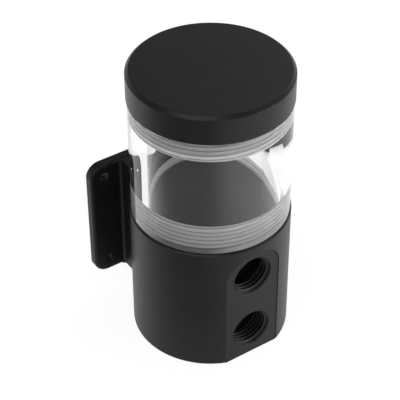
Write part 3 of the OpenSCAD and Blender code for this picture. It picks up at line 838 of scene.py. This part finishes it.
@dataclass
class PumpBody:
    """The pump body with its ports, and the threads on its spigot and in its ports."""

    spigot: float = 18.9 * MM
    spigot_pitch: float = 1.5 * MM
    spigot_crest: float = 0.85 * MM
    spigot_root: float = 0.3 * MM
    spigot_thread: Tuple[float, float] = (45.8 * MM, 48.1 * MM)
    port: float = 6.58 * MM
    port_pitch: float = 1.337 * MM
    port_crest: float = 0.72 * MM
    port_root: float = 0.25 * MM
    port_lead: float = 0.5 * MM
    port_heights: Mapping[str, Tuple[float, float]] = field(default_factory=lambda: {
        "upper": (32.0 * MM, 5.6 * MM), "lower": (9.8 * MM, 7.4 * MM)})
    flat: float = -22.8 * MM
    edge: float = 0.1 * MM
    spigot_steps: int = 180
    port_steps: int = 120

    def spigot_ring(self) -> None:
        """Builds the thread that stands on the spigot, backed by a ring inside its wall."""
        start, end = self.spigot_thread
        inner = self.spigot - self.spigot_root
        bm = bmesh.new()
        Thread(wall=self.spigot, height=self.spigot_crest, pitch=self.spigot_pitch, start=start,
               end=end, form=Form.RIDGE_OUT, mouth_at_start=False, crest=0.16, root=0.2,
               run_out=0.3, steps=self.spigot_steps).cut(bm)
        spun(bm, [(self.spigot, end), (inner, end), (inner, start), (self.spigot, start)],
             self.spigot_steps)
        clean(bm)
        piece(bm, "spigot_thread", HOUSING, Body.PUMP)

    def port_ring(self, name: str, height: float, depth: float) -> None:
        """Builds one port's thread as a ring that stands in from the bore's wall."""
        back = self.port + self.port_root
        start = self.port_lead
        bm = bmesh.new()
        Thread(wall=self.port, height=self.port_crest, pitch=self.port_pitch, start=start,
               end=depth, form=Form.RIDGE_IN, crest=0.2, root=0.2, run_out=0.8,
               steps=self.port_steps).cut(bm)
        spun(bm, [(self.port, depth), (back, depth), (back, start), (self.port, start)],
             self.port_steps)
        clean(bm)
        turn = Matrix.Rotation(math.radians(-90), 4, "X")
        bmesh.ops.transform(bm, verts=bm.verts[:],
                            matrix=Matrix.Translation((0, self.flat, height)) @ turn)
        piece(bm, f"{name}_port_thread", HOUSING, Body.PUMP)

    def build(self) -> None:
        """Builds the body's pieces."""
        softened_node("body_housing", "pump_shell", HOUSING, Body.PUMP,
                      self.edge)
        self.spigot_ring()
        for name, (height, depth) in self.port_heights.items():
            self.port_ring(name, height, depth)


@dataclass
class Mounting:
    """The rear bracket, the bottom cover and their screws, by the width of their roundings."""

    bracket_edge: float = 0.15 * MM
    cover_edge: float = 0.12 * MM
    socket_edge: float = 0.08 * MM
    screw_edge: float = 0.05 * MM
    lip_edge: float = 0.2 * MM

    def build(self) -> None:
        """Builds the pieces that hold the pump together and on its panel."""
        for node, name, finish, slot, width in (
                ("mounting_bracket", "rear_bracket", BRACKET, "bracket", self.bracket_edge),
                ("bottom_cover", "base_cover", COVER, "cover", self.cover_edge),
                ("bracket_screws", "socket_screws", SCREW, "screws", self.socket_edge),
                ("cover_screws", "small_screws", SCREW, "screws", self.screw_edge),
                ("cable_grommet", "inlet_grommet", GROMMET, "grommet", self.lip_edge)):
            softened_node(node, name, finish, Body.PUMP, width)


@dataclass
class PumpDrive:
    """The rotor on its shaft, the separation can and the motor below it."""

    axis: Tuple[float, float, float] = (0.0, 6.2 * MM, 0.0)

    def build(self) -> None:
        """Finishes the pieces inside the pump body."""
        refinish(Compound("impeller_resin", colour=(0.78, 0.74, 0.64, 1.0)), "impeller")
        refinish(Compound("carbon_bush", colour=grey(0.035), roughness=0.3), "bearing_bush")
        refinish(Compound("bonded_ferrite", colour=grey(0.06, -0.03), roughness=0.45),
                 "rotor_magnet")
        refinish(Compound("ceramic_shaft", colour=(0.86, 0.84, 0.78, 1.0), roughness=0.14,
                          mottle=0.04), "pump_shaft")
        refinish(Compound("thrust_resin", colour=(0.62, 0.5, 0.3, 1.0)), "lower_thrust_washer",
                 "upper_thrust_washer")
        refinish(Moulding("can_black", tone=0.02, roughness=0.35), "separation_can")
        refinish(Moulding("sleeve_black", tone=0.016, roughness=0.5), "motor_sleeve")
        refinish(Steel("spring_steel", tone=0.55, roughness=0.22), "shaft_clip")
        refinish(Steel("laminations", tone=0.3, roughness=0.38, plate=0.35 * MM), "stator_core")
        refinish(Winding("enamelled_wire", centre=self.axis), "stator_coils")
        refinish(SolderMask("solder_mask"), "driver_board")
        refinish(Moulding("chip_black", tone=0.018, roughness=0.55), "board_components")


@dataclass(frozen=True)
class SoftBox:
    """A square lamp that faces the object."""

    name: str
    place: Tuple[float, float, float]
    size: float
    watts: float


@dataclass
class Studio:
    """The floor, the soft light and the camera."""

    azimuth: float = SIGHT
    elevation: float = math.radians(39.23)
    roll: float = -0.0035
    distance: float = 0.44135
    target: Tuple[float, float, float] = (-2.65 * MM, 1.79 * MM, 46.7 * MM)
    lens: float = 128.75
    ambient: float = 0.62
    ceiling: float = 0.1
    dimmed: Tuple[float, float] = (0.05, 0.6)
    floor_reach: float = 4.0
    boxes: Tuple[SoftBox, ...] = (
        SoftBox("key_light", (-0.55, -0.35, 0.95), 0.9, 4.0),
        SoftBox("fill_light", (0.7, 0.25, 0.7), 0.8, 1.6),
        SoftBox("side_light", (0.45, -0.7, 0.22), 0.6, 3.0))

    def floor(self) -> None:
        """Lays the white floor under the resting face."""
        bm = bmesh.new()
        bmesh.ops.create_grid(bm, x_segments=2, y_segments=2, size=self.floor_reach)
        mesh = bpy.data.meshes.new("studio_floor")
        bm.to_mesh(mesh)
        bm.free()
        mesh.materials.append(StudioFloor("floor_white").material())
        ground = bpy.data.objects.new("studio_floor", mesh)
        bpy.context.scene.collection.objects.link(ground)

    def world(self) -> None:
        """Lights the scene evenly and shows white where the background is seen."""
        world = bpy.data.worlds.new("studio")
        bpy.context.scene.world = world
        world.use_nodes = True
        graph = Graph(world.node_tree)
        path = graph.node("ShaderNodeLightPath")
        camera = Value(graph, path.outputs["Is Camera Ray"])
        seen = (camera + Value(graph, path.outputs["Is Glossy Ray"])
                + Value(graph, path.outputs["Is Transmission Ray"])).clamped()
        direction = Value(graph, graph.node("ShaderNodeTexCoord").outputs["Generated"])
        overhead = graph.axes(direction)[2].ramp(*self.dimmed) * (1 - camera)
        soft = graph.node("ShaderNodeBackground", None,
                          {"Color": grey(1.0), "Strength": self.ambient})
        white = graph.node("ShaderNodeBackground", None,
                           {"Color": grey(1.0), "Strength": 1 - overhead * (1 - self.ceiling)})
        both = graph.node("ShaderNodeMixShader", None,
                          {0: seen, 1: soft.outputs[0], 2: white.outputs[0]})
        graph.node("ShaderNodeOutputWorld", None, {"Surface": both.outputs[0]})

    def lamp(self, box: SoftBox) -> None:
        """Hangs one soft box and turns it to the object."""
        data = bpy.data.lights.new(box.name, "AREA")
        data.shape, data.size, data.energy = "SQUARE", box.size, box.watts
        lamp = bpy.data.objects.new(box.name, data)
        bpy.context.scene.collection.objects.link(lamp)
        aim = Vector(self.target) - Vector(box.place)
        lamp.matrix_world = (Matrix.Translation(box.place)
                             @ aim.to_track_quat("-Z", "Y").to_matrix().to_4x4())

    def camera(self) -> None:
        """Sets the camera up on its line of sight."""
        a, e = self.azimuth, self.elevation
        back = Vector((math.sin(a) * math.cos(e), -math.cos(a) * math.cos(e), math.sin(e)))
        right = Vector((math.cos(a), math.sin(a), 0.0))
        up = back.cross(right)
        turn = Matrix((right, up, back)).transposed().to_4x4()
        data = bpy.data.cameras.new("camera")
        data.sensor_width, data.lens = 36.0, self.lens
        data.clip_start, data.clip_end = 0.02, 20.0
        camera = bpy.data.objects.new("camera", data)
        bpy.context.scene.collection.objects.link(camera)
        place = Matrix.Translation(Vector(self.target) + self.distance * back)
        camera.matrix_world = place @ turn @ Matrix.Rotation(self.roll, 4, "Z")
        bpy.context.scene.camera = camera

    def build(self) -> None:
        """Builds the whole studio."""
        self.camera()
        self.floor()
        self.world()
        for box in self.boxes:
            self.lamp(box)
        bpy.context.scene.view_settings.view_transform = "Standard"


def main() -> None:
    """Builds the studio and each sub-assembly in order."""
    logging.basicConfig(level=logging.INFO, format="%(name)s: %(message)s")
    for part in (Studio(), PumpBody(), Tank(), ScrewCap(), Mounting(), PumpDrive()):
        part.build()
        LOG.info("%s done", type(part).__name__)


if __name__ == "__main__":
    main()
